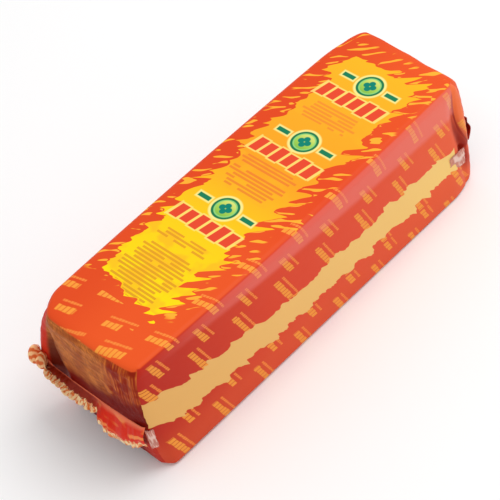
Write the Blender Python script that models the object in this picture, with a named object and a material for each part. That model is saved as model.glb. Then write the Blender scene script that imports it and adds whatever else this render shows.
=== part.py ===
"""A loaf of semi-hard cheese in a tight printed film bag. Each bag end is folded to a
crosswise seal with a crinkled fin. Metres, +X along the loaf, +Z up, floor at Z = 0."""

import math

import bmesh
import bpy
from mathutils import Vector

# Loaf in its film, with the soft swelling of the ends and sides left out
LENGTH = 0.3035
WIDTH = 0.0935
HEIGHT = 0.1000
EDGE_R = 0.0050
CORNER_RIGHT = (0.0050, 0.0050)
CORNER_NEAR = (0.0185, 0.0155)
CORNER_FAR = (0.0340, 0.0110)
SWELL_RIGHT = 0.0034
SWELL_LEFT = 0.0020
SWELL_NEAR = 0.0044
SWELL_FAR = 0.0038
SWELL_FAR_LEFT = 0.0028
LOW_TUCK = 0.0030

# Folded ends: how far the film stands off at the seal, and how high the seal lies
BARREL_NEAR = 0.0056
BARREL_FAR = 0.0080
SEAL_Z_NEAR = 0.0460
SEAL_Z_FAR = 0.0400
EAR_NEAR_LEFT = 0.0112
EAR_NEAR_RIGHT = -0.0010
EAR_FAR_LEFT = 0.0050
EAR_FAR_RIGHT = 0.0010
EAR_SHARPEN = 0.75

# Grid of the block: cuts along each cube edge, and rows inside a rounded edge
CUTS = 17
EDGE_ROWS = 2
FLAT_SHARE = 1 - 2 * EDGE_ROWS / (CUTS + 1)

# Fins
GAP = 0.0003
FIN_T = 0.0014
FIN_WAVE = 0.0096
FIN_RIPPLE = 0.0015
FIN_COLUMNS = 78
FIN_ROWS = 6
FIN_RIGHT_Y = -0.0432
FIN_LEFT_Y = 0.0580
ROLL_OUT = 0.0040
ROLL_UP = 0.0072

# Free edge of the near fin: place across, reach past the seal, drop below the seal
NEAR_EDGE = [
    (-0.0440, 0.0021, 0.0178),
    (-0.0310, 0.0048, 0.0233),
    (-0.0200, 0.0075, 0.0229),
    (-0.0120, 0.0090, 0.0184),
    (-0.0080, 0.0087, 0.0128),
    (-0.0030, 0.0046, 0.0089),
    (0.0090, 0.0063, 0.0060),
    (0.0200, 0.0080, 0.0030),
    (0.0320, 0.0082, -0.0005),
    (0.0600, 0.0082, -0.0012),
]

# Clear ends of the seals, laid on the right side at the corners
TAB_T = 0.0010
TAB_COLUMNS = 8
TAB_ROWS = 6

HALF_L = LENGTH / 2
HALF_W = WIDTH / 2


def lerp(a, b, t):
    return a + (b - a) * t


def smooth(a, b, t):
    k = min(1.0, max(0.0, (t - a) / (b - a)))
    return k * k * (3 - 2 * k)


def grid_place(t, ring, half, inset):
    """Place of a grid line on a box inset at this ring: close rows by the edge."""
    k = abs(t)
    flat = half - EDGE_R
    if k > FLAT_SHARE:
        place = flat + (EDGE_R - inset) * (k - FLAT_SHARE) / (ring - FLAT_SHARE)
    else:
        q = k / FLAT_SHARE
        place = flat * q * (1.25 - 0.25 * q * q)
    return math.copysign(place, t)


def outline(u, v, ring, inset, blunt):
    """Point of the loaf's plan, its corners rounded, for a ring of the cube's grid."""
    x = grid_place(u, ring, HALF_L, inset)
    y = grid_place(v, ring, HALF_W, inset)
    if ring < FLAT_SHARE - 1e-6:
        return x, y
    along, across = CORNER_RIGHT
    if v > 0:
        along, across = [r * blunt for r in (CORNER_NEAR if u < 0 else CORNER_FAR)]
    along = max(1e-6, along - inset)
    across = max(1e-6, across - inset)
    a = 1 - (HALF_L - inset - abs(x)) / along
    b = 1 - (HALF_W - inset - abs(y)) / across
    if a > 0 and b > 0:
        reach = math.hypot(a, b)
        x = math.copysign(HALF_L - inset - along * (1 - a / reach), x)
        y = math.copysign(HALF_W - inset - across * (1 - b / reach), y)
    return x, y


def block_point(u, v, w):
    """Skin of the block for a point of the cube from -1 to 1."""
    ring = max(abs(u), abs(v))
    below_edge = max(0.0, 1 - abs(w) / FLAT_SHARE)
    turn = max(0.0, abs(w) - FLAT_SHARE) / (1 - FLAT_SHARE) * math.pi / 4
    if abs(w) > 0.9999:
        turn = math.pi / 2 - max(0.0, ring - FLAT_SHARE) / (1 - FLAT_SHARE) * math.pi / 4
    inset = EDGE_R * (1 - math.cos(turn))
    x, y = outline(u, v, ring, inset, 1 - EAR_SHARPEN * below_edge)
    z = grid_place(w, 1, HEIGHT / 2, 0)
    if turn > 0:
        z = math.copysign(HEIGHT / 2 - EDGE_R * (1 - math.sin(turn)), w)

    # Swell of the sides and ends, then the film standing off toward the seal
    side = SWELL_RIGHT if v < 0 else SWELL_LEFT
    y += v * side * (1 - (x / HALF_L) ** 2)
    near = smooth(-0.55, -1.0, u)
    far = smooth(0.55, 1.0, u)
    stand = 1 - abs(w) ** (2.4 if w > 0 else 2.0)
    flatter = lerp(0.2, 1.0, (w + 1) / 2) * (1 - 0.3 * stand)
    tuck = LOW_TUCK * smooth(-0.2, -1.0, w) * lerp(0.3, 1.0, (v + 1) / 2)
    x -= near**2 * (SWELL_NEAR * (1 - v * v) * flatter + BARREL_NEAR * stand - tuck)
    bump = SWELL_FAR * (1 - v**6) + SWELL_FAR_LEFT * smooth(0, 0.8, v)
    x += far**2 * (bump * flatter + BARREL_FAR * stand)
    ear = below_edge ** (0.8 if w > 0 else 0.7)
    left = smooth(0.3, 1.0, v)
    right = smooth(-0.3, -1.0, v)
    y += ear * left * (near * EAR_NEAR_LEFT + far * EAR_FAR_LEFT)
    y -= ear * right * (near**2 * EAR_NEAR_RIGHT + far**2 * EAR_FAR_RIGHT)
    seal_z = lerp(SEAL_Z_NEAR, SEAL_Z_FAR, (u + 1) / 2)
    z += HEIGHT / 2 + (seal_z - HEIGHT / 2) * (1 - w * w)
    return x, y, z


def over_corner(end, t, w, lift):
    """A point lifted off the skin by a right corner: t > 0 on the side, t < 0 on the end."""

    def skin(t, w):
        return Vector(block_point(end * (1 - max(0, t)), -1 + max(0, -t), w))

    along = skin(t + 0.01, w) - skin(t - 0.01, w)
    upward = skin(t, w + 0.01) - skin(t, w - 0.01)
    return skin(t, w) - end * along.cross(upward).normalized() * lift


def ridge(end, y):
    """Outermost film of an end at the seal, for a place across the loaf."""
    low, high = -1.0, 1.0
    for _ in range(24):
        middle = (low + high) / 2
        if block_point(end, middle, 0)[1] < y:
            low = middle
        else:
            high = middle
    return block_point(end, low, 0)[0]


def add_object(name, bm, colour, roughness):
    bmesh.ops.recalc_face_normals(bm, faces=bm.faces)
    mesh = bpy.data.meshes.new(name)
    bm.to_mesh(mesh)
    bm.free()
    material = bpy.data.materials.new(name)
    material.use_nodes = True
    shader = material.node_tree.nodes["Principled BSDF"]
    shader.inputs["Base Color"].default_value = (*colour, 1)
    shader.inputs["Roughness"].default_value = roughness
    shader.inputs["Metallic"].default_value = 0.0
    mesh.materials.append(material)
    obj = bpy.data.objects.new(name, mesh)
    bpy.context.scene.collection.objects.link(obj)
    return obj


def add_sheet(name, columns, rows, thickness, place, colour, roughness):
    """A grid bent by place(s, q), both from 0 to 1, and thickened to a closed sheet."""
    bm = bmesh.new()
    bmesh.ops.create_grid(bm, x_segments=columns, y_segments=rows, size=0.5)
    for vert in bm.verts:
        vert.co = place(vert.co.x + 0.5, vert.co.y + 0.5)
    bm.normal_update()
    bmesh.ops.solidify(bm, geom=bm.faces[:], thickness=thickness)
    return add_object(name, bm, colour, roughness)


# Start from an empty scene
for old in list(bpy.data.objects):
    bpy.data.objects.remove(old, do_unlink=True)

# Block: a cube cut to a grid, each point laid on the film-wrapped loaf
block = bmesh.new()
bmesh.ops.create_cube(block, size=2)
bmesh.ops.subdivide_edges(block, edges=block.edges[:], cuts=CUTS, use_grid_fill=True)
for vert in block.verts:
    vert.co = block_point(*vert.co)
add_object("cheese_block", block, (0.75, 0.10, 0.03), 0.35)


# Near fin: hangs on the right, stands straight out on the left, rolls up past the side
def near_fin(s, q):
    y = lerp(FIN_RIGHT_Y, FIN_LEFT_Y, s)
    for (start, *a), (stop, *b) in zip(NEAR_EDGE, NEAR_EDGE[1:]):
        if start <= y <= stop:
            t = smooth(start, stop, y)
            reach = lerp(a[0], b[0], t)
            drop = lerp(a[1], b[1], t)
    length = math.hypot(reach, drop)
    ripple = FIN_RIPPLE * q * math.sin(math.tau * y / FIN_WAVE)
    out = reach * q + ripple * drop / length
    up = ripple * reach / length - drop * q
    past = smooth(0.049, 0.0565, y)
    turn = math.radians(-70 + 300 * q)
    roll_out = ROLL_OUT * (1 + math.sin(turn))
    roll_up = ROLL_UP * (0.8 - math.cos(turn))
    out = lerp(out, roll_out, past) + GAP + FIN_T
    up = lerp(up, roll_up, past)
    return ridge(-1, y) - out, y, SEAL_Z_NEAR + up


add_sheet("seal_fin_near", FIN_COLUMNS, FIN_ROWS, FIN_T, near_fin, (0.72, 0.09, 0.03), 0.4)


# Far fin: folded up against the end, swollen near its root
def far_fin(s, q):
    y = lerp(FIN_RIGHT_Y, 0.0560, s)
    out = 0.0036 * math.sin(math.pi * min(1.0, q * 1.25))
    ripple = FIN_RIPPLE * 0.3 * q * (1 + math.sin(math.tau * y / FIN_WAVE))
    return ridge(1, y) + GAP + FIN_T + out + ripple, y, SEAL_Z_FAR - 0.007 + 0.0220 * q


add_sheet("seal_fin_far", FIN_COLUMNS, FIN_ROWS, FIN_T, far_fin, (0.30, 0.02, 0.01), 0.4)


# Tabs: the clear ends of both seals, laid round the corners onto the right side
def near_tab(s, q):
    return over_corner(-1, lerp(-0.10, 0.10, s), lerp(-0.32, -0.02, q), GAP + TAB_T)


def far_tab(s, q):
    return over_corner(1, lerp(0.30, 0.17, s), lerp(-0.21, -0.01, q), GAP + TAB_T)


for name, place in (("seal_tab_near", near_tab), ("seal_tab_far", far_tab)):
    add_sheet(name, TAB_COLUMNS, TAB_ROWS, TAB_T, place, (0.80, 0.45, 0.35), 0.3)
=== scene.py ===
"""A loaf of semi-hard cheese in a tight printed film bag, lying on a pale table."""

import math

import bmesh
import bpy
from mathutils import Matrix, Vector, noise


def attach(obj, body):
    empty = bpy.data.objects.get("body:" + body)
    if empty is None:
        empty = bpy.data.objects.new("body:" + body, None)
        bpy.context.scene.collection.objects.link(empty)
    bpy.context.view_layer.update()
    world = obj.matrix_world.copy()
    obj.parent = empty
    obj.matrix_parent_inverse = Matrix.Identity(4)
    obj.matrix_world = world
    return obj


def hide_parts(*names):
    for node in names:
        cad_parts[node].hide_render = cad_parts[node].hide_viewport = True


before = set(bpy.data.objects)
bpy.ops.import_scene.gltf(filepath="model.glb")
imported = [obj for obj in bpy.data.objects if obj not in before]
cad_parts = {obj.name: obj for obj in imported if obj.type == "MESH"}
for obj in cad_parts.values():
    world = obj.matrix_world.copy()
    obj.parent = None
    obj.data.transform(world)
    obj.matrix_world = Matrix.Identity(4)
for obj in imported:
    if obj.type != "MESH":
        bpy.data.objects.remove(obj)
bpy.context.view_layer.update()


# The film over the loaf: one tube of printed film drawn tight round a brick of cheese,
# creased at its four upright corners and folded over both ends toward the seals.
LENGTH = 0.3035
WIDTH = 0.0935
HEIGHT = 0.1000
HALF_L = LENGTH / 2
HALF_W = WIDTH / 2

# Radius of the long edges, and rounding of the upright corners along and across the loaf
EDGE_R = 0.0050
CORNER_RIGHT = (0.0050, 0.0050)
CORNER_NEAR = (0.0185, 0.0155)
CORNER_FAR = (0.0340, 0.0110)

# Soft swelling of the sides and ends, and how far the foot of the near end is drawn in
SWELL_RIGHT = 0.0034
SWELL_LEFT = 0.0020
SWELL_NEAR = 0.0044
SWELL_FAR = 0.0038
SWELL_FAR_LEFT = 0.0028
LOW_TUCK = 0.0030

# Folded ends: how far the film stands off at the seal, how high the seal lies, and how
# far the ears of folded film stick out beside it
BARREL_NEAR = 0.0056
BARREL_FAR = 0.0080
SEAL_Z_NEAR = 0.0460
SEAL_Z_FAR = 0.0400
EAR_NEAR_LEFT = 0.0112
EAR_NEAR_RIGHT = -0.0010
EAR_FAR_LEFT = 0.0050
EAR_FAR_RIGHT = 0.0010
EAR_SHARPEN = 0.75

# Cuts along each edge of the cube that the mesh starts from, the share of its half width
# that stays off the rounded edges, and the place from which a point is on a face
CUTS = 89
FLAT_SHARE = 7 / 9
ON_FACE = 0.9999


def lerp(a, b, t):
    return a + (b - a) * t


def smooth(a, b, t):
    k = min(1.0, max(0.0, (t - a) / (b - a)))
    return k * k * (3 - 2 * k)


def grid_place(t, ring, half, inset):
    """Place of a grid line on a box inset at this ring: close rows by the edge."""
    k = abs(t)
    flat = half - EDGE_R
    if k > FLAT_SHARE:
        place = flat + (EDGE_R - inset) * (k - FLAT_SHARE) / (ring - FLAT_SHARE)
    else:
        q = k / FLAT_SHARE
        place = flat * q * (1.25 - 0.25 * q * q)
    return math.copysign(place, t)


def outline(u, v, ring, inset, blunt):
    """Point of the loaf's plan, its corners rounded, for a ring of the cube's grid."""
    x = grid_place(u, ring, HALF_L, inset)
    y = grid_place(v, ring, HALF_W, inset)
    along, across = CORNER_RIGHT
    if v > 0:
        along, across = [r * blunt for r in (CORNER_NEAR if u < 0 else CORNER_FAR)]
    along = max(1e-6, along - inset)
    across = max(1e-6, across - inset)
    a = 1 - (HALF_L - inset - abs(x)) / along
    b = 1 - (HALF_W - inset - abs(y)) / across
    if a > 0 and b > 0:
        round_a = a * math.sqrt(1 - b * b / 2)
        round_b = b * math.sqrt(1 - a * a / 2)
        x = math.copysign(HALF_L - inset - along * (1 - round_a), x)
        y = math.copysign(HALF_W - inset - across * (1 - round_b), y)
    return x, y


def loaf_point(u, v, w):
    """Skin of the film-wrapped loaf for a point of the cube from -1 to 1."""
    ring = max(abs(u), abs(v))
    below_edge = max(0.0, 1 - abs(w) / FLAT_SHARE)
    turn = max(0.0, abs(w) - FLAT_SHARE) / (1 - FLAT_SHARE) * math.pi / 4
    if abs(w) > ON_FACE:
        turn = math.pi / 2 - max(0.0, ring - FLAT_SHARE) / (1 - FLAT_SHARE) * math.pi / 4
    inset = EDGE_R * (1 - math.cos(turn))
    x, y = outline(u, v, ring, inset, 1 - EAR_SHARPEN * below_edge)
    z = grid_place(w, 1, HEIGHT / 2, 0)
    if turn > 0:
        z = math.copysign(HEIGHT / 2 - EDGE_R * (1 - math.sin(turn)), w)

    # Swell of the sides and ends, then the film standing off toward the seal
    side = SWELL_RIGHT if v < 0 else SWELL_LEFT
    y += v * side * (1 - (x / HALF_L) ** 2)
    near = smooth(-0.55, -1.0, u)
    far = smooth(0.55, 1.0, u)
    stand = 1 - abs(w) ** (2.4 if w > 0 else 2.0)
    flatter = lerp(0.2, 1.0, (w + 1) / 2) * (1 - 0.3 * stand)
    tuck = LOW_TUCK * smooth(-0.2, -1.0, w) * lerp(0.3, 1.0, (v + 1) / 2)
    x -= near**2 * (SWELL_NEAR * (1 - v * v) * flatter + BARREL_NEAR * stand - tuck)
    bump = SWELL_FAR * (1 - v**6) + SWELL_FAR_LEFT * smooth(0, 0.8, v)
    x += far**2 * (bump * flatter + BARREL_FAR * stand)
    ear = below_edge ** (0.8 if w > 0 else 0.7)
    left = smooth(0.3, 1.0, v)
    right = smooth(-0.3, -1.0, v)
    y += ear * left * (near * EAR_NEAR_LEFT + far * EAR_FAR_LEFT)
    y -= ear * right * (near**2 * EAR_NEAR_RIGHT + far**2 * EAR_FAR_RIGHT)
    seal_z = lerp(SEAL_Z_NEAR, SEAL_Z_FAR, (u + 1) / 2)
    z += HEIGHT / 2 + (seal_z - HEIGHT / 2) * (1 - w * w)
    return x, y, z


def groove(a, b, line, width):
    """From 1 on a line of points to 0 at this width from it."""
    nearest = width
    point = Vector((a, b))
    for start, end in zip(line, line[1:]):
        start = Vector(start)
        along = Vector(end) - start
        t = (point - start).dot(along) / along.length_squared
        nearest = min(nearest, (start + along * min(1, max(0, t)) - point).length)
    return 1 - nearest / width


# Folds of the near end as (y, z) lines: a pocket on the left, and creases toward the seal
POCKET = [(0.036, 0.092), (0.038, 0.068), (0.033, 0.048)]
POCKET_DEPTH = 0.0042
POCKET_WIDTH = 0.0100
CREASES = [
    [(-0.0385, 0.090), (-0.0380, 0.066), (-0.0430, 0.048)],
    [(-0.0310, 0.084), (-0.0330, 0.062), (-0.0420, 0.047)],
    [(-0.0220, 0.074), (-0.0270, 0.057), (-0.0400, 0.047)],
    [(-0.0120, 0.066), (-0.0200, 0.054), (-0.0380, 0.046)],
]
CREASE_DEPTH = 0.0011
CREASE_WIDTH = 0.0036

# Folds of the right side by its far corner, as (x, z) lines above and below the seal
CORNER_FOLD = [(0.1500, 0.0985), (0.1455, 0.090), (0.1465, 0.060), (0.1500, 0.037)]
CORNER_FOLD_DEPTH = 0.0026
LOW_FOLD = [(0.1500, 0.037), (0.1485, 0.020), (0.1510, 0.004)]
LOW_FOLD_DEPTH = 0.0016
CORNER_FOLD_WIDTH = 0.0042

# Crumples of the near and far ends, and the bulge and foot of the far end
CRUMPLE_NEAR = 0.0005
CRUMPLE_FAR = 0.0007
BULGE_FAR = 0.0016
FOOT_FAR = 0.0022


def film_point(u, v, w):
    """Skin of the loaf with the folds and crumples of its film."""
    x, y, z = loaf_point(u, v, w)
    near = smooth(-0.84, -1.0, u)
    far = smooth(0.84, 1.0, u)
    if near > 0:
        pocket = groove(y, z, POCKET, POCKET_WIDTH) ** 1.4
        pull = POCKET_DEPTH * pocket * smooth(0.098, 0.075, z)
        for crease in CREASES:
            pull += CREASE_DEPTH * groove(y, z, crease, CREASE_WIDTH)
        pull += CRUMPLE_NEAR * (1 + noise.noise((y * 60, z * 260, 3)))
        x += near * pull * smooth(HEIGHT, 0.096, z)
    if far > 0:
        crumple = 1 + noise.noise((y * 90, z * 160, 8))
        x -= far * CRUMPLE_FAR * crumple * smooth(HEIGHT, 0.08, z)
        x += far * BULGE_FAR * smooth(-0.020, 0.0, y) * smooth(0.040, 0.020, y)
        x += far**2 * FOOT_FAR * smooth(0.030, 0.004, z)
    if v < 0:
        side = smooth(-0.9, -1.0, v)
        low = smooth(0.045, 0.004, z)
        low *= smooth(-0.1525, -0.1455, x) * smooth(0.1560, 0.1340, x)
        y -= side * low * SWELL_RIGHT * (x / HALF_L) ** 2
        fold = CORNER_FOLD_DEPTH * groove(x, z, CORNER_FOLD, CORNER_FOLD_WIDTH)
        y += side * fold * smooth(HEIGHT, 0.07, z)
        y += side * LOW_FOLD_DEPTH * groove(x, z, LOW_FOLD, CORNER_FOLD_WIDTH)
    return x, y, z


def around(v, w):
    """Distance round the loaf from the middle of its top, without a sign."""
    if abs(w) < ON_FACE:
        return HALF_W + HEIGHT / 2 - grid_place(w, 1, HEIGHT / 2, 0)
    across = abs(grid_place(v, 1, HALF_W, 0))
    return across if w > 0 else WIDTH + HEIGHT - across


def wrap_uv(u, v, w, middle):
    """Place on the flat film, in metres: along the loaf and round it."""
    along = grid_place(u, 1, HALF_L, 0)
    drop = (HEIGHT / 2 - lerp(SEAL_Z_NEAR, SEAL_Z_FAR, (u + 1) / 2)) * (1 - w * w)
    if abs(middle.x) < ON_FACE:
        return along, math.copysign(around(v, w) + drop, middle.y)
    down = HEIGHT / 2 - grid_place(w, 1, HEIGHT / 2, 0) + drop
    across = grid_place(v, 1, HALF_W, 0)
    return along + math.copysign(down, along), across


wrap_bm = bmesh.new()
bmesh.ops.create_cube(wrap_bm, size=2)
bmesh.ops.subdivide_edges(wrap_bm, edges=wrap_bm.edges[:], cuts=CUTS, use_grid_fill=True)
flat_film = wrap_bm.loops.layers.uv.new("film")
for face in wrap_bm.faces:
    middle = face.calc_center_median()
    for loop in face.loops:
        loop[flat_film].uv = wrap_uv(*loop.vert.co, middle)
for vert in wrap_bm.verts:
    vert.co = film_point(*vert.co)


def add_piece(name, bm, replaced):
    """Puts a finished mesh in the scene, in place of a node of the CAD."""
    bmesh.ops.recalc_face_normals(bm, faces=bm.faces)
    for face in bm.faces:
        face.smooth = True
    mesh = bpy.data.meshes.new(name)
    bm.to_mesh(mesh)
    bm.free()
    piece = bpy.data.objects.new(name, mesh)
    bpy.context.scene.collection.objects.link(piece)
    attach(piece, "root")
    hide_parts(replaced)
    return piece


wrap = add_piece("film_wrap", wrap_bm, "cheese_block")

# Half width of the blur at a printed edge, in millimetres
PRINT_BLUR = 0.25


class Ink:
    """A socket of a film's material. Sums and products with it add Math nodes."""

    def __init__(self, film, socket):
        self.film = film
        self.socket = socket

    def math(self, operation, *others):
        values = dict(enumerate((self, *others)))
        return self.film.node("Math", {"operation": operation}, values)

    def __add__(self, other):
        return self.math("ADD", other)

    __radd__ = __add__

    def __sub__(self, other):
        return self.math("SUBTRACT", other)

    def __rsub__(self, other):
        return self.math("MULTIPLY_ADD", -1.0, other)

    def __mul__(self, other):
        return self.math("MULTIPLY", other)

    __rmul__ = __mul__

    def __truediv__(self, other):
        return self.math("DIVIDE", other)

    def __floordiv__(self, other):
        return (self / other).math("FLOOR")

    def __neg__(self):
        return self.math("MULTIPLY", -1.0)

    def __abs__(self):
        return self.math("ABSOLUTE")

    def __lt__(self, other):
        return self.math("LESS_THAN", other)

    def __gt__(self, other):
        return self.math("GREATER_THAN", other)

    def least(self, other):
        return self.math("MINIMUM", other)

    def most(self, other):
        return self.math("MAXIMUM", other)

    def step(self, low, high):
        """From 0 at low to 1 at high, eased at both ends."""
        ends = {"Value": self, "From Min": low, "From Max": high}
        return self.film.node("MapRange", {"interpolation_type": "SMOOTHSTEP"}, ends)

    def printed(self):
        """1 where the value is above 0 and 0 where it is below, as sharp as print is."""
        return self.step(-PRINT_BLUR, PRINT_BLUR)


class Film:
    """A material and its nodes."""

    def __init__(self, name):
        self.material = bpy.data.materials.new(name)
        self.material.use_nodes = True
        self.tree = self.material.node_tree
        self.shader = self.tree.nodes["Principled BSDF"]

    def node(self, kind, settings, values, output=0):
        """Adds a node: its settings are set first, then its sockets' values or links."""
        added = self.tree.nodes.new("ShaderNode" + kind)
        for setting, value in settings.items():
            if setting == "stops":
                ramp = added.color_ramp
                while len(ramp.elements) < len(value):
                    ramp.elements.new(0.5)
                for element, (place, colour) in zip(ramp.elements, value):
                    element.position = place
                    element.color = colour
            else:
                setattr(added, setting, value)
        for socket, value in values.items():
            if isinstance(value, Ink):
                self.tree.links.new(value.socket, added.inputs[socket])
            else:
                added.inputs[socket].default_value = value
        return Ink(self, added.outputs[output])

    def flat_place(self):
        """The two sides of a place on the piece's flat film, from its UV map."""
        place = self.node("UVMap", {"uv_map": "film"}, {})
        return [self.node("SeparateXYZ", {}, {0: place}, axis) for axis in (0, 1)]

    def pair(self, a, b):
        """Two values as one place."""
        return self.node("CombineXYZ", {}, {0: a, 1: b})

    def distance(self, a, b):
        """How far the place is from the middle of its pattern."""
        return self.node("VectorMath", {"operation": "LENGTH"}, {0: self.pair(a, b)}, 1)

    def chance(self, a, b):
        """A random value from 0 to 1 for each pair of values."""
        values = {"Vector": self.pair(a, b)}
        return self.node("TexWhiteNoise", {"noise_dimensions": "2D"}, values)

    def noise(self, a, b, size, detail=0.0):
        """Noise from 0 to 1 over two values, at a size in their units."""
        values = {"Vector": self.pair(a / size, b / size), "Scale": 1.0, "Detail": detail}
        return self.node("TexNoise", {"noise_dimensions": "2D"}, values)

    def mix(self, factor, a, b):
        return self.node("Mix", {"data_type": "RGBA"}, {0: factor, 6: a, 7: b}, 2)

    def ramp(self, value, low, high, stops):
        """A colour for each value from low to high, blended between the stops."""
        share = (value - low) * (1 / (high - low))
        placed = [((at - low) / (high - low), colour) for at, colour in stops]
        return self.node("ValToRGB", {"stops": placed}, {0: share})

    def crinkled(self, strength, height):
        """A normal with crinkles up to about a millimetre high."""
        values = {"Strength": strength, "Distance": 0.001, "Height": height}
        return self.node("Bump", {}, values)

    def finish(self, **sockets):
        """Sets or links the shader's sockets, and gives the material."""
        for name, value in sockets.items():
            socket = self.shader.inputs[name.replace("_", " ")]
            if isinstance(value, Ink):
                self.tree.links.new(value.socket, socket)
            else:
                socket.default_value = value
        return self.material


def linear(red, green, blue):
    """A screen colour from 0 to 255 as the linear one that a shader takes."""
    return (*(((c / 255 + 0.055) / 1.055) ** 2.4 for c in (red, green, blue)), 1.0)


# Print on the film, in millimetres along it and round it from the middle of the top
MM = 1000
TOP_EDGE = HALF_W * MM
FOOT = TOP_EDGE + HEIGHT * MM
film = Film("printed film")
along, girth = [place * MM for place in film.flat_place()]
height = FOOT - abs(girth)

# Every ragged edge of the print is drawn out into tongues that run this way
TONGUE = (0.62, -0.78)
lengthwise = along * TONGUE[0] + girth * TONGUE[1]
crosswise = along * -TONGUE[1] + girth * TONGUE[0]


def tongues(width, length, sharp):
    """Pointed tongues of uneven length, about this far apart."""
    wave = film.noise(crosswise, lengthwise * 0.12, width)
    size = film.noise(crosswise + 300, lengthwise * 0.3, width * 2.2).step(0.3, 0.7)
    return (1 - abs(wave * 2 - 1) * sharp).most(0.0) * (size * length + length * 0.25)


def outward(reach, amount):
    """Places on the print, read from further back along the tongues."""
    return along - reach * (TONGUE[0] * amount), girth - reach * (TONGUE[1] * amount)


# Yellow field of the top, as a depth inside its edges at these distances from the middle
FIELD_RIGHT = 23
FIELD_FAR = 131
FIELD_LEFT = 27
FIELD_NEAR = 107
flames = tongues(width=8.5, length=14.0, sharp=2.2) + tongues(width=3.6, length=2.6, sharp=1.8)
right_x, right_s = outward(flames, 1.0)
left_x, left_s = outward(flames, -1.0)
near_x, near_s = outward(flames, -0.8)
depth = (right_s + FIELD_RIGHT + right_x * 0.05).least(FIELD_FAR - right_x)
depth = depth.least(FIELD_LEFT - left_x * 0.03 - left_s)
depth = depth.least(near_x + FIELD_NEAR - near_s * 0.12)
splash = depth.printed()

# Flecks on the red of the top, in a belt round the yellow field
fleck = film.noise(crosswise, lengthwise * 0.24, 2.9).step(0.65, 0.68)
fleck = fleck * depth.step(-16, -13) * depth.step(-1.2, -1.6)
fleck = fleck * abs(girth).step(TOP_EDGE, TOP_EDGE - 1) * along.step(-113, -107)

# Bare stripe of the right side, where the cheese shows: (place along, height) of its edges
STRIPE_TOP = [
    (-158, 68), (-140, 63), (-120, 58), (-100, 56), (-80, 54),
    (-40, 49), (0, 47), (125, 46), (143, 39),
]
STRIPE_LOW = [
    (-155, 47), (-140, 41), (-120, 36), (-100, 34), (-40, 31), (60, 29), (150, 28),
]
STRIPE_END = 141.5


def stripe_line(x, line):
    """Height of an edge of the stripe. The ramp holds it as a share of 100 mm."""
    stops = [(at, (z / 100, z / 100, z / 100, 1.0)) for at, z in line]
    return film.ramp(x, -160, 160, stops) * 100


torn = tongues(width=11.0, length=8.0, sharp=2.2) + tongues(width=4.0, length=3.2, sharp=2.0)
top_x, top_s = outward(torn, -0.8)
low_x, low_s = outward(torn, 0.8)
below_top = stripe_line(top_x, STRIPE_TOP) - FOOT - top_s
above_low = low_s + FOOT - stripe_line(low_x, STRIPE_LOW)
bare = below_top.least(above_low).least(STRIPE_END - along).printed()

# The flap folded over the far right corner carries marks of its own, out of step
FLAP_X = 145.6
FLAP_SHIFT = 9
fold_x = FLAP_X + 0.0029 * (height - 80) * (height - 80)
on_side = abs(girth).step(TOP_EDGE, TOP_EDGE + 1)
flap = (along - fold_x).step(0, 0.8) * on_side * height.step(36, 40)
print_x = along + flap * FLAP_SHIFT

# Rows of small marks: place round the loaf, first mark, half length, slant, last mark
MARK_PITCH = 38.4
MARK_DRIFT = 0.064
MARK_START = -140
TOP_ROWS = [
    (42.0, -121.0, 8.0, 0.25, -100),
    (24.7, -136.0, 9.7, 0.25, -118),
    (10.8, -150.5, 9.7, 0.25, -118),
    (-10.3, -127.5, 9.7, 0.25, -110),
    (-22.0, -142.3, 9.7, 0.25, -130),
    (-40.5, -119.6, 9.5, 0.25, 150),
]
SIDE_ROWS = [
    (-57.5, -133.0, 13.0, 0.42, 160),
    (-78.0, -139.5, 12.0, 0.40, 160),
    (-100.0, -127.0, 11.0, 0.40, 160),
    (-122.5, -119.0, 10.0, 0.40, 160),
    (-133.0, -134.0, 10.5, 0.40, 160),
    (-160.0, -127.0, 10.5, 0.30, 160),
    (-184.0, -140.0, 10.5, 0.30, 160),
    (-208.0, -121.0, 10.5, 0.30, 160),
    (-230.0, -135.0, 10.0, 0.30, 160),
]

# A place between the rows keeps half a pitch, where nothing is printed
mark_a = MARK_PITCH / 2
mark_b = 0.0
for rows, place in ((SIDE_ROWS, -abs(girth)), (TOP_ROWS, girth)):
    for centre, first, half, slant, last in rows:
        row_b = place + (along - MARK_START) * MARK_DRIFT - centre
        row_a = print_x + row_b * slant - first
        held = (abs(row_b) < half) * (along < last)
        mark_a = mark_a + held * (row_a - mark_a)
        mark_b = mark_b + held * (row_b - mark_b)
column = (mark_a / MARK_PITCH).math("ROUND")
mark_a = mark_a - column * MARK_PITCH


def blocks(a, b, pitch, half, seed):
    """A bar of printed blocks along b, each of its own height."""
    cell = b // pitch
    tall = film.chance(cell, column + seed)
    gap = abs(b / pitch - cell - 0.5).step(0.46, 0.38)
    return (half * 0.75 + tall * (half * 0.35) - abs(a)).printed() * gap


# Each mark is a bar of thick blocks with a bar of thin ones beside it
THICK_BESIDE = 6.2
thin = blocks(mark_a, mark_b, pitch=2.1, half=0.95, seed=0)
thick = blocks(mark_a + THICK_BESIDE, mark_b, pitch=3.3, half=2.5, seed=50)

# Three repeats down the yellow field: a band of bars, a round badge, and lines of dashes
BADGES = (-22, 52, 116)
local = along - BADGES[0]
for before, after in zip(BADGES, BADGES[1:]):
    local = local - (along > (before + after) / 2 - 7) * (after - before)
across = girth - (1.5 - along * 0.03)

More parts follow.
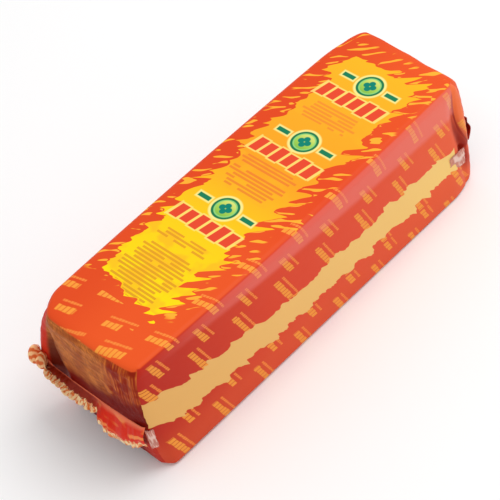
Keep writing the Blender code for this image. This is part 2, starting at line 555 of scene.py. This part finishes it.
# Badge: a disc with a clover of four round petals, and a bar on each side of it
BADGE_R = 9.5
RIM = 1.7
RING = 1.0
PETAL_R = 2.3
PETAL_OUT = 2.7
BAR_OUT = 18.5
BAR_HALF_LENGTH = 5
BAR_HALF_WIDTH = 1.8
radius = film.distance(local, across)
petal_a = abs(local).most(abs(across)) - PETAL_OUT
petal_b = abs(local).least(abs(across))
clover = (PETAL_R - film.distance(petal_a, petal_b)).printed()
bar = (abs(abs(across) - BAR_OUT) - BAR_HALF_LENGTH).most(abs(local) - BAR_HALF_WIDTH)
badge_halo = (BADGE_R + 1.8 - radius).most(1.4 - bar).step(-0.6, 0.8)

# Band: six slanted bars side by side before the badge, each of its own length
BAND_BEFORE = 18.5
BAND_PITCH = 8.8
BAND_HALF_LENGTH = 5.2
BAND_HALF_WIDTH = 3.4
band_b = across + local * 0.16 + 2
band_cell = band_b // BAND_PITCH
longer = film.chance(band_cell, 7.0) * 2
from_bar = abs(band_b - band_cell * BAND_PITCH - BAND_PITCH / 2)
band = abs(local + BAND_BEFORE) - BAND_HALF_LENGTH - longer
band = band.most(from_bar - BAND_HALF_WIDTH).most(abs(band_b) - 3 * BAND_PITCH)

# Lines of dashes between them, ragged at their ends, with a gap here and there
LINE_PITCH = 3.0
DASH_PITCH = 5.4
DASH_ZONES = [(-112, -55), (-8, 23), (70, 87)]
line = along // LINE_PITCH
ends = film.node("TexWhiteNoise", {"noise_dimensions": "1D"}, {"W": line})
there = film.chance(line, (girth + ends * 37) // DASH_PITCH)
dash_rows = sum(
    along.step(first - 0.3, first) * along.step(last + 0.3, last) for first, last in DASH_ZONES
)
dashes = abs(along / LINE_PITCH - line - 0.5).step(0.36, 0.24) * dash_rows
dashes = dashes * (abs(girth - 3 + along * 0.03) < 16 + ends * 8) * depth.step(0.4, 1.4)
dashes = dashes * (ends > 0.06) * (there > 0.08)

# Red ground: the side is painted darker toward its near end, as painted shade away from the
# lamp, and the top is deeper red on the left
top_ground = film.ramp(along, -150, 150, [
    (-150, linear(232, 86, 34)),
    (-60, linear(230, 84, 34)),
    (20, linear(224, 72, 30)),
    (150, linear(230, 84, 34)),
])
side_red_with_painted_shade = film.ramp(along, -150, 150, [
    (-150, linear(186, 40, 26)),
    (-40, linear(220, 68, 40)),
    (60, linear(229, 80, 50)),
    (150, linear(236, 96, 56)),
])
top_ground = film.mix(girth.step(-12, 36) * 0.6, top_ground, linear(216, 66, 26))
side_red_with_painted_shade = film.mix(height.step(45, 8) * 0.5, side_red_with_painted_shade, linear(226, 92, 52))
past_top = abs(girth).step(TOP_EDGE - 1.5, TOP_EDGE + 0.5)
colour = film.mix(past_top, top_ground, side_red_with_painted_shade)
# The flap is painted lighter orange, as a painted highlight on the facet that faces the light
colour = film.mix(flap * 0.8, colour, linear(244, 116, 60))
colour = film.mix(thin * 0.9, colour, linear(244, 140, 60))
colour = film.mix(thick * 0.9, colour, linear(246, 160, 60))
colour = film.mix(fleck, colour, linear(250, 172, 50))

# Yellow field, brightest at its near end and patchy between the badges, with its print
yellow = film.ramp(along, -150, 150, [
    (-110, linear(253, 218, 10)),
    (-40, linear(252, 200, 20)),
    (20, linear(243, 158, 32)),
    (80, linear(243, 168, 34)),
    (140, linear(246, 180, 30)),
])
patchy = film.noise(along, girth, 17, 2.0).step(0.42, 0.6) * dash_rows
yellow = film.mix(patchy * 0.55, yellow, linear(248, 172, 34))
colour = film.mix(splash, colour, yellow)
dash_colour = film.ramp(along, -150, 150, [
    (-110, linear(214, 150, 34)),
    (-40, linear(222, 148, 36)),
    (10, linear(232, 122, 44)),
    (90, linear(236, 140, 44)),
])
colour = film.mix(dashes * 0.85, colour, dash_colour)
colour = film.mix((1.3 - band).step(-0.3, 0.5) * 0.8, colour, linear(253, 222, 120))
colour = film.mix((-band).printed(), colour, linear(226, 72, 44))
colour = film.mix(badge_halo * 0.85, colour, linear(240, 236, 150))
colour = film.mix((-bar).printed(), colour, linear(24, 122, 84))

badge_fill = film.ramp(local, -BADGE_R, BADGE_R, [
    (-BADGE_R, linear(110, 176, 66)),
    (0, linear(168, 206, 84)),
    (BADGE_R, linear(236, 226, 130)),
])
colour = film.mix((BADGE_R - radius).printed(), colour, linear(26, 118, 76))
colour = film.mix((BADGE_R - RIM - radius).printed(), colour, linear(140, 206, 120))
colour = film.mix((BADGE_R - RIM - RING - radius).printed(), colour, badge_fill)
colour = film.mix(clover, colour, linear(6, 128, 108))

# Colour of the cheese behind the bare stripe
stripe = film.ramp(along, -150, 150, [
    (-150, linear(232, 176, 100)),
    (-40, linear(240, 190, 112)),
    (140, linear(246, 206, 122)),
])
colour = film.mix(bare, colour, stripe)

# Far right corner: painted shade beside the fold of the flap, a painted dark line along the
# fold, and painted shade in the fold below it
shade = abs(along - fold_x + 1.6).step(5.0, 0) * height.step(88, 50) * height.step(34, 38)
fold_line_shade = abs(along - fold_x).step(0.9, 0.2) * height.step(96, 88) * height.step(35, 38)
shade = shade.most(fold_line_shade)
colour = film.mix(shade * on_side * 0.85, colour, linear(138, 22, 16))
low_fold_shade = abs(along - 147.5 - (36 - height) * 0.10).step(4.0, 0.5)
low_fold_shade = low_fold_shade * height.step(42, 36) * height.step(10, 26)
colour = film.mix(low_fold_shade * on_side * 0.85, colour, linear(156, 28, 20))

# Both ends: film folded over the cheese, its print painted dark as painted shade: gold on the
# left and rumpled red on the right, with fine crinkles. Down is the way from the end of the
# top, in millimetres
down = abs(along) - HALF_L * MM
end = down.step(0.3, 1.6) * (1 - along.step(0, 1) * girth.step(-34, -42))
blotch = film.noise(girth, down, 12, 2.0)
streak = film.noise(girth / 20, down / 1.5, 1, 2.0)
crease = film.noise(girth / 1.7, down / 30, 1, 3.0)
hatch = film.noise(girth + down * 0.7, down * 0.4, 1.3, 3.0)
lighter = (blotch * 0.55 + streak * 0.45).step(0.32, 0.66)
yellow_in_painted_shade = film.mix(lighter, linear(168, 80, 32), linear(210, 120, 50))
yellow_in_painted_shade = film.mix(hatch.step(0.44, 0.64) * 0.5, yellow_in_painted_shade, linear(128, 64, 26))
# The rumpled red has painted highlights and painted shade in a pattern of creases
red_painted_shade_and_highlights = film.mix(crease.step(0.38, 0.74), linear(152, 36, 6), linear(218, 112, 40))
red_painted_shade_and_highlights = film.mix((blotch - down * 0.004).step(0.26, 0.50), linear(144, 30, 4), red_painted_shade_and_highlights)
end_print_in_painted_shade = film.mix((girth + blotch * 14).step(-2, -22), yellow_in_painted_shade, red_painted_shade_and_highlights)

# Painted shade low on the ends in dark red, an orange patch, a painted shadow in the pocket on
# the left, and the red of the low corner
DARK_FROM = 36
low_shade_edge = DARK_FROM + girth * 0.10 + film.noise(girth, down, 7) * 9
end_print_in_painted_shade = film.mix((down - low_shade_edge).step(-10, 6), end_print_in_painted_shade, linear(116, 12, 2))
orange = film.noise(girth + 40, down, 5).step(0.5, 0.62)
orange = orange * abs(girth + 17).step(6, 3) * abs(down - 30).step(7, 4)
end_print_in_painted_shade = film.mix(orange * 0.6, end_print_in_painted_shade, linear(214, 120, 44))
# Painted shadow in the pocket on the left
pocket = (girth - 20 - down * 0.08).step(0, 6) * girth.step(42, 37) * down.step(12, 40)
end_print_in_painted_shade = film.mix(pocket * 0.92, end_print_in_painted_shade, linear(96, 22, 6))
end_print_in_painted_shade = film.mix(girth.step(37, 40), end_print_in_painted_shade, linear(206, 44, 24))
low_corner = girth.step(-28, -41) * down.step(52, 66)
end_print_in_painted_shade = film.mix(low_corner, end_print_in_painted_shade, linear(188, 46, 30))
colour = film.mix(end, colour, end_print_in_painted_shade)

# Sheen of the bright room along the top of the right side, above this height
SHEEN_LOW = 83
sheen = (height - SHEEN_LOW + along * 0.07).step(-3.5, 2.5)
sheen = sheen * abs(girth).step(TOP_EDGE - 0.5, TOP_EDGE + 1.5) * along.step(-165, -40)
sheen = sheen * (1 - flap)
# The sheen is painted into the colour here as a pinkish painted reflection; the coat it drives
# below gives a real one in the same band
colour = film.mix(sheen * 0.45, colour, linear(240, 108, 96))

# Relief: broad swells all over, and folds on the ends that run down and across them
swell = film.noise(along, girth, 26, 2.0) * 0.6 + film.noise(along, girth, 4, 2.0) * 0.06
tall_folds = film.noise(girth / 2.2, down / 24, 1, 3.0) * girth.step(-10, -30) * 0.9
long_folds = film.noise(girth / 18, down / 3, 1, 3.0) * 0.35
swell = swell + (tall_folds + long_folds) * end

wrap.data.materials.append(film.finish(
    Base_Color=colour,
    Roughness=0.4 + end * 0.1,
    IOR=1.18,
    Coat_Weight=sheen * 0.5,
    Coat_Roughness=0.16,
    Normal=film.crinkled(0.6, swell),
))


# Near fin: both layers of film crimped together past the seal. It hangs on the right,
# stands out on the left with a frilled clear edge, and its left end rolls up.
FIN_RIGHT_Y = -0.0432
FIN_LEFT_Y = 0.0580
FIN_FILM = 0.0005
FIN_SUNK = 0.0004

# Free edge: place across, reach past the seal, drop below the seal
NEAR_EDGE = [
    (-0.0440, 0.0021, 0.0178),
    (-0.0310, 0.0048, 0.0233),
    (-0.0200, 0.0075, 0.0229),
    (-0.0120, 0.0090, 0.0184),
    (-0.0080, 0.0087, 0.0128),
    (-0.0030, 0.0044, 0.0089),
    (0.0090, 0.0063, 0.0060),
    (0.0200, 0.0080, 0.0025),
    (0.0320, 0.0079, -0.0010),
    (0.0600, 0.0079, -0.0020),
]

# Pitch and height of the crests on the right and on the left, fine crinkles, and the
# bulge of the part that hangs
CREST_PITCH = (0.0066, 0.0054)
CREST_HEIGHT = (0.0008, 0.0018)
CRINKLE = 0.0011
BULGE = 0.0026

# The left end rolls up between these places across, through these angles in degrees
ROLL_FROM = 0.0410
ROLL_WHOLE = 0.0480
ROLL_START = -70
ROLL_TURN = 380
ROLL_OUT = 0.0042
ROLL_UP = 0.0070


def ridge(end, y):
    """Outermost film of an end at the seal, for a place across the loaf."""
    low, high = -1.0, 1.0
    for _ in range(24):
        middle = (low + high) / 2
        if loaf_point(end, middle, 0)[1] < y:
            low = middle
        else:
            high = middle
    return loaf_point(end, low, 0)[0]


def near_fin(s, q):
    """The fin, for shares s from its right end and q from its root."""
    y = lerp(FIN_RIGHT_Y, FIN_LEFT_Y, s)
    for (start, *a), (stop, *b) in zip(NEAR_EDGE, NEAR_EDGE[1:]):
        if start <= y <= stop:
            t = smooth(start, stop, y)
            out = lerp(a[0], b[0], t)
            drop = lerp(a[1], b[1], t)
    length = math.hypot(out, drop)

    # Crests and bulge, square to the line from the seal to the free edge
    frill = smooth(-0.010, 0.004, y)
    crest = math.tau * (y / lerp(*CREST_PITCH, frill) + 0.9 * noise.noise((y * 90, 0, 5)))
    reach = q * (1 + (0.22 + 0.10 * math.cos(crest)) * frill)
    ripple = lerp(*CREST_HEIGHT, frill) * q**1.4 * math.sin(crest)
    ripple += CRINKLE * q * noise.noise((y * 170, q * 2.2, 2))
    bulge = BULGE * math.sin(math.pi * q) * (1 - frill)
    bulge *= 1 + 0.6 * noise.noise((y * 60, q * 2, 9))
    forward = reach * out + (ripple + bulge) * drop / length
    fall = reach * drop - ripple * out / length

    # Roll of the left end, its size uneven across
    rolled = smooth(ROLL_FROM, ROLL_WHOLE, y)
    turn = math.radians(ROLL_START + ROLL_TURN * q)
    lobe = 0.80 + 0.24 * math.cos(math.tau * (y - 0.0545) / 0.0085)
    size = lobe + 0.16 * math.sin(crest * 0.8) * q
    forward = lerp(forward, ROLL_OUT * (1 + math.sin(turn)) * size, rolled)
    fall = lerp(fall, -ROLL_UP * (0.8 - math.cos(turn)) * size, rolled)
    return ridge(-1, y) + FIN_SUNK - forward, y, SEAL_Z_NEAR - fall


def add_sheet(name, columns, rows, thickness, place, replaced):
    """A grid bent by place(s, q), both from 0 to 1, and thickened to a closed sheet."""
    bm = bmesh.new()
    bmesh.ops.create_grid(bm, x_segments=columns, y_segments=rows, size=0.5)
    flat_sheet = bm.loops.layers.uv.new("film")
    for face in bm.faces:
        for loop in face.loops:
            loop[flat_sheet].uv = loop.vert.co.xy + Vector((0.5, 0.5))
    for vert in bm.verts:
        vert.co = place(vert.co.x + 0.5, vert.co.y + 0.5)
    bm.normal_update()
    bmesh.ops.solidify(bm, geom=bm.faces[:], thickness=thickness)
    return add_piece(name, bm, replaced)


near_frill = add_sheet(
    "near_frill", 420, 26, FIN_FILM, near_fin, "seal_fin_near"
)


def clear_edge(fin, s, q, start, uneven):
    """How far a place is past the ragged end of the print, and the tint of the film there."""
    past = q - start - fin.noise(s, q * 0.2, 0.014, 2.0) * uneven
    return past, fin.noise(s, q * 0.04, 0.011, 3.0)


fin = Film("near fin film")
s, q = fin.flat_place()
past, edge_tint = clear_edge(fin, s, q, 0.56, 0.3)
clear = (past + s.step(0.3, 0.42) * 0.18).step(0, 0.08)
pale = fin.mix(edge_tint.step(0.36, 0.60), linear(232, 118, 52), linear(255, 226, 172))
# Painted highlights sweep in curves over the hanging red film
highlight_sweep = fin.noise(s * 5 + q * 1.5, q * 2 - s * 3, 1, 1.0)
red = fin.mix(highlight_sweep.step(0.5, 0.62), linear(226, 40, 10), linear(250, 140, 70))
# A painted highlight along the root of the fin
red = fin.mix(q.step(0.2, 0.02), red, linear(244, 120, 84))
# Painted shade over the standing left part of the fin, past its root
red = fin.mix(s.step(0.32, 0.46) * q.step(0.02, 0.1), red, linear(150, 40, 20))
colour = fin.mix(clear, red, pale)

# The rolled end is painted light orange against its shade, with pale rings as painted
# highlights on its layers
ring_highlights = abs((q * 6 + s * 30 + edge_tint).math("FRACT") - 0.5).step(0.34, 0.16)
rolled = fin.mix(ring_highlights, linear(226, 112, 56), linear(254, 204, 146))
colour = fin.mix(s.step(0.84, 0.88) * q.step(0.1, 0.3), colour, rolled)
crimp = fin.noise(s * 60, q * 4, 1, 2.0)
near_frill.data.materials.append(fin.finish(
    Base_Color=colour,
    Roughness=0.25,
    IOR=1.25,
    Normal=fin.crinkled(0.4, crimp),
))


# Far fin: the same two layers past the far seal, folded up flat against the far end.
# Air keeps it swollen near its root, and its free edge is clear and frilled.
FAR_FIN_LEFT_Y = 0.0555
FAR_FIN_DEPTH = 0.0220
FAR_FIN_ROOT = 0.0070
FAR_FIN_GAP = 0.0012
FAR_FIN_SWELL = 0.0038


def far_fin(s, q):
    """The fin, for shares s from its right end and q from its root."""
    y = lerp(FIN_RIGHT_Y, FAR_FIN_LEFT_Y, s)
    crest = math.tau * (y / CREST_PITCH[0] + 1.1 * noise.noise((y * 90, 0, 3)))
    frill = smooth(-0.0432, -0.0300, y)
    swollen = 0.85 + 0.25 * noise.noise((y * 70, q * 2, 4))
    out = FAR_FIN_SWELL * math.sin(math.pi * min(1.0, q * 1.25)) * swollen
    out += CREST_HEIGHT[0] * q**1.3 * (1 + math.sin(crest) * frill)
    uneven = 0.05 * math.cos(crest) + 0.06 * noise.noise((y * 60, 0, 6))
    rise = FAR_FIN_DEPTH * q * (0.96 + uneven * frill)
    return ridge(1, y) + out + FAR_FIN_GAP, y, SEAL_Z_FAR - FAR_FIN_ROOT + rise


far_frill = add_sheet("far_frill", 300, 20, FIN_FILM, far_fin, "seal_fin_far")

fin = Film("far fin film")
s, q = fin.flat_place()
past, edge_tint = clear_edge(fin, s, q, 0.64, 0.26)
clear = past.step(0, 0.08) * s.step(0.04, 0.1)
pale = fin.mix(edge_tint.step(0.34, 0.52), linear(206, 120, 62), linear(255, 238, 204))
# The fin's red is painted dark, as painted shade, and mottled
mottle = fin.noise(s * 8, q * 2, 1, 2.0).step(0.3, 0.7)
red = fin.mix(mottle, linear(128, 18, 12), linear(190, 50, 30))
far_frill.data.materials.append(fin.finish(
    Base_Color=fin.mix(clear, red, pale),
    Roughness=0.3,
    IOR=1.4,
))


# Clear ends of the seals: unprinted film from the edges of the web, one at each seal.
# Each lies on the film at a right corner of the loaf, welded at the seal and crumpled.
CLEAR_FILM = 0.0003
CLEAR_LIFT = 0.0008
CLEAR_CRUMPLE = 0.0005


def over_corner(end, t, w, lift):
    """A point lifted off the skin by a right corner: t > 0 on the side, t < 0 on the end."""

    def skin(t, w):
        return Vector(loaf_point(end * (1 - max(0, t)), -1 + max(0, -t), w))

    along = skin(t + 0.01, w) - skin(t - 0.01, w)
    upward = skin(t, w + 0.01) - skin(t, w - 0.01)
    return skin(t, w) - end * along.cross(upward).normalized() * lift


def near_tab(s, q):
    lift = CLEAR_LIFT + CLEAR_CRUMPLE * noise.noise((s * 3, q * 5, 1))
    return over_corner(-1, lerp(-0.10, 0.10, s), lerp(-0.32, -0.02, q), lift)


def far_tab(s, q):
    lift = CLEAR_LIFT + CLEAR_CRUMPLE * noise.noise((s * 4, q * 4, 7))
    return over_corner(1, lerp(0.33, 0.16, s), lerp(-0.27, -0.03, q), lift)


near_clear = add_sheet(
    "near_clear", 40, 40, CLEAR_FILM, near_tab, "seal_tab_near"
)
far_clear = add_sheet(
    "far_clear", 40, 40, CLEAR_FILM, far_tab, "seal_tab_far"
)

clear_film = Film("clear film")
s, q = clear_film.flat_place()
inside = (0.5 - abs(s - 0.5)).least(0.5 - abs(q - 0.5))
inside = inside - clear_film.noise(s, q, 0.3, 2.0) * 0.08
crumple = clear_film.noise(s * 1.4, q * 0.8, 0.3, 1.0)
# The clear film is painted lighter on its crumples, as painted highlights
tint = clear_film.mix(crumple.step(0.42, 0.66), linear(218, 142, 124), linear(246, 206, 190))
clear_film.finish(
    Base_Color=tint,
    Roughness=0.3,
    IOR=1.4,
    Alpha=inside.step(-0.03, 0.05) * (crumple * 0.4 + 0.55),
    Normal=clear_film.crinkled(0.4, crumple),
)
for piece in (near_clear, far_clear):
    piece.data.materials.append(clear_film.material)


# Floor: a plain pale tabletop that the loaf lies on. It is the stage, not a part of the
# pack, and is wide enough to fill low views too.
FLOOR_HALF = 4
floor_bm = bmesh.new()
bmesh.ops.create_grid(floor_bm, x_segments=1, y_segments=1, size=FLOOR_HALF)
floor_mesh = bpy.data.meshes.new("floor")
floor_bm.to_mesh(floor_mesh)
floor_bm.free()
floor = bpy.data.objects.new("floor", floor_mesh)
bpy.context.scene.collection.objects.link(floor)
tabletop = Film("tabletop")
floor_mesh.materials.append(tabletop.finish(Base_Color=(0.95, 0.95, 0.95, 1), Roughness=0.8))


# Light: a bright even room, and one large soft lamp that hangs high up beyond the far end
# and a little to the right, so that the near end is in soft shade.
ROOM_LIGHT = 0.74
LAMP_PLACE = (0.55, -0.25, 1.5)
LAMP_TARGET = (0, 0, 0.05)
LAMP_SIZE = 1.1
LAMP_POWER = 11
bpy.context.scene.view_settings.view_transform = "Standard"
world = bpy.data.worlds.new("room")
world.use_nodes = True
world.node_tree.nodes["Background"].inputs["Color"].default_value = (1, 1, 1, 1)
world.node_tree.nodes["Background"].inputs["Strength"].default_value = ROOM_LIGHT
bpy.context.scene.world = world

lamp_data = bpy.data.lights.new("key", "AREA")
lamp_data.shape = "DISK"
lamp_data.size = LAMP_SIZE
lamp_data.energy = LAMP_POWER
lamp = bpy.data.objects.new("key", lamp_data)
lamp.location = LAMP_PLACE
aim = Vector(LAMP_PLACE) - Vector(LAMP_TARGET)
lamp.rotation_euler = aim.to_track_quat("Z", "Y").to_euler()
bpy.context.scene.collection.objects.link(lamp)


# Camera: a long lens held up and out from the near right corner of the loaf, about 1.3 m
# away, and rolled a little.
camera_data = bpy.data.cameras.new("camera")
camera_data.sensor_width = 36
camera_data.lens = 140.16
camera_data.clip_end = 20
camera = bpy.data.objects.new("camera", camera_data)
camera.location = (-0.5269, -0.70915, 1.0104)
camera.rotation_euler = [math.radians(a) for a in (41.5403, 9.4946, -46.4929)]
bpy.context.scene.collection.objects.link(camera)
bpy.context.scene.camera = camera
